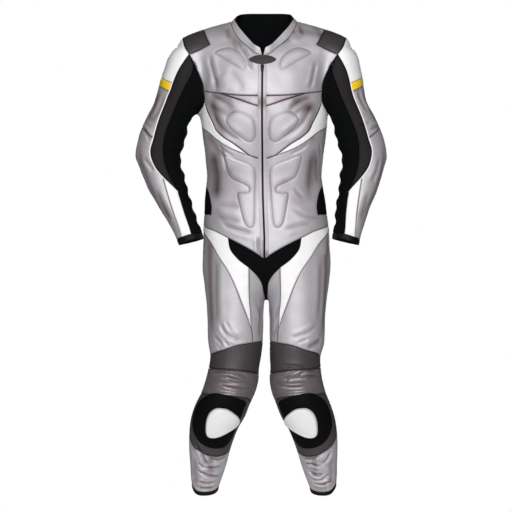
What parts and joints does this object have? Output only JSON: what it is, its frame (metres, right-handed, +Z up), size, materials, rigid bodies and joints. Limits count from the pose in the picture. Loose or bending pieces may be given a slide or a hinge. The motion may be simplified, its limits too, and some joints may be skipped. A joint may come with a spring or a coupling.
{
  "type": "one-piece motorcycle race suit",
  "caption": "One-piece motorcycle race suit of panelled leather and stretch, filled out in a standing pose, with a stand collar, front zip and knee pucks.",
  "frame": {"origin": "the carrying point, midway between the shoulders at the height of the back neckline", "axes": "+Z up, from the ankles to the collar; the suit faces -Y; +X is the wearer's left"},
  "size_m": [0.7507, 0.2534, 1.4505],
  "materials": {
    "silver_leather": "smooth, slight metallic sheen",
    "white_leather": "smooth, satin",
    "yellow_leather": "smooth, satin",
    "grey_leather": "smooth, satin, dark grey",
    "black_leather": "smooth, satin",
    "black_stretch": "matt woven stretch",
    "black_metal": "black plated, semi-gloss",
    "black_plastic": "moulded, satin",
    "white_plastic": "moulded, semi-gloss"
  },
  "bodies": {
    "suit": {"back_panel": "silver_leather", "belly_panel_left": "silver_leather", "belly_panel_right": "silver_leather", "calf_left": "silver_leather", "calf_right": "silver_leather", "chest_inset_left": "silver_leather", "chest_inset_right": "silver_leather", "collar": "silver_leather", "collar_lining": "black_stretch", "crotch_gusset": "black_stretch", "cuff_left": "black_leather", "cuff_right": "black_leather", "forearm_flash_left": "white_leather", "forearm_flash_right": "white_leather", "forearm_left": "silver_leather", "forearm_right": "silver_leather", "front_yoke_left": "silver_leather", "front_yoke_right": "silver_leather", "hem_left": "black_leather", "hem_right": "black_leather", "knee_slider_left": "white_plastic", "knee_slider_right": "white_plastic", "knee_stretch_left": "grey_leather", "knee_stretch_right": "grey_leather", "knee_surround_left": "grey_leather", "knee_surround_right": "grey_leather", "knee_top_left": "grey_leather", "knee_top_right": "grey_leather", "neck_tab": "grey_leather", "rib_panel_left": "silver_leather", "rib_panel_right": "silver_leather", "seat_panel": "silver_leather", "shin_left": "silver_leather", "shin_right": "silver_leather", "shoulder_patch_left": "grey_leather", "shoulder_patch_right": "grey_leather", "side_flash_left": "white_leather", "side_flash_right": "white_leather", "side_stretch_left": "black_stretch", "side_stretch_right": "black_stretch", "sleeve_band_left": "yellow_leather", "sleeve_band_right": "yellow_leather", "sleeve_cap_left": "white_leather", "sleeve_cap_right": "white_leather", "sleeve_stretch_left": "black_stretch", "sleeve_stretch_right": "black_stretch", "sleeve_strip_left": "grey_leather", "sleeve_strip_right": "grey_leather", "slider_base_left": "black_plastic", "slider_base_right": "black_plastic", "thigh_back_left": "silver_leather", "thigh_back_right": "silver_leather", "thigh_flash_left": "white_leather", "thigh_flash_right": "white_leather", "thigh_front_left": "silver_leather", "thigh_front_right": "silver_leather", "upper_sleeve_left": "silver_leather", "upper_sleeve_right": "silver_leather", "zip": "black_metal"},
    "pull": {"zip_pull": "black_metal"}
  },
  "joints": [
    {"name": "zip_pull_swing", "type": "hinge", "parent": "suit", "child": "pull", "pos_m": [-0.00673, -0.11218, -0.12769], "axis": [-1, 0, 0], "range_deg": [0, 150]}
  ]
}
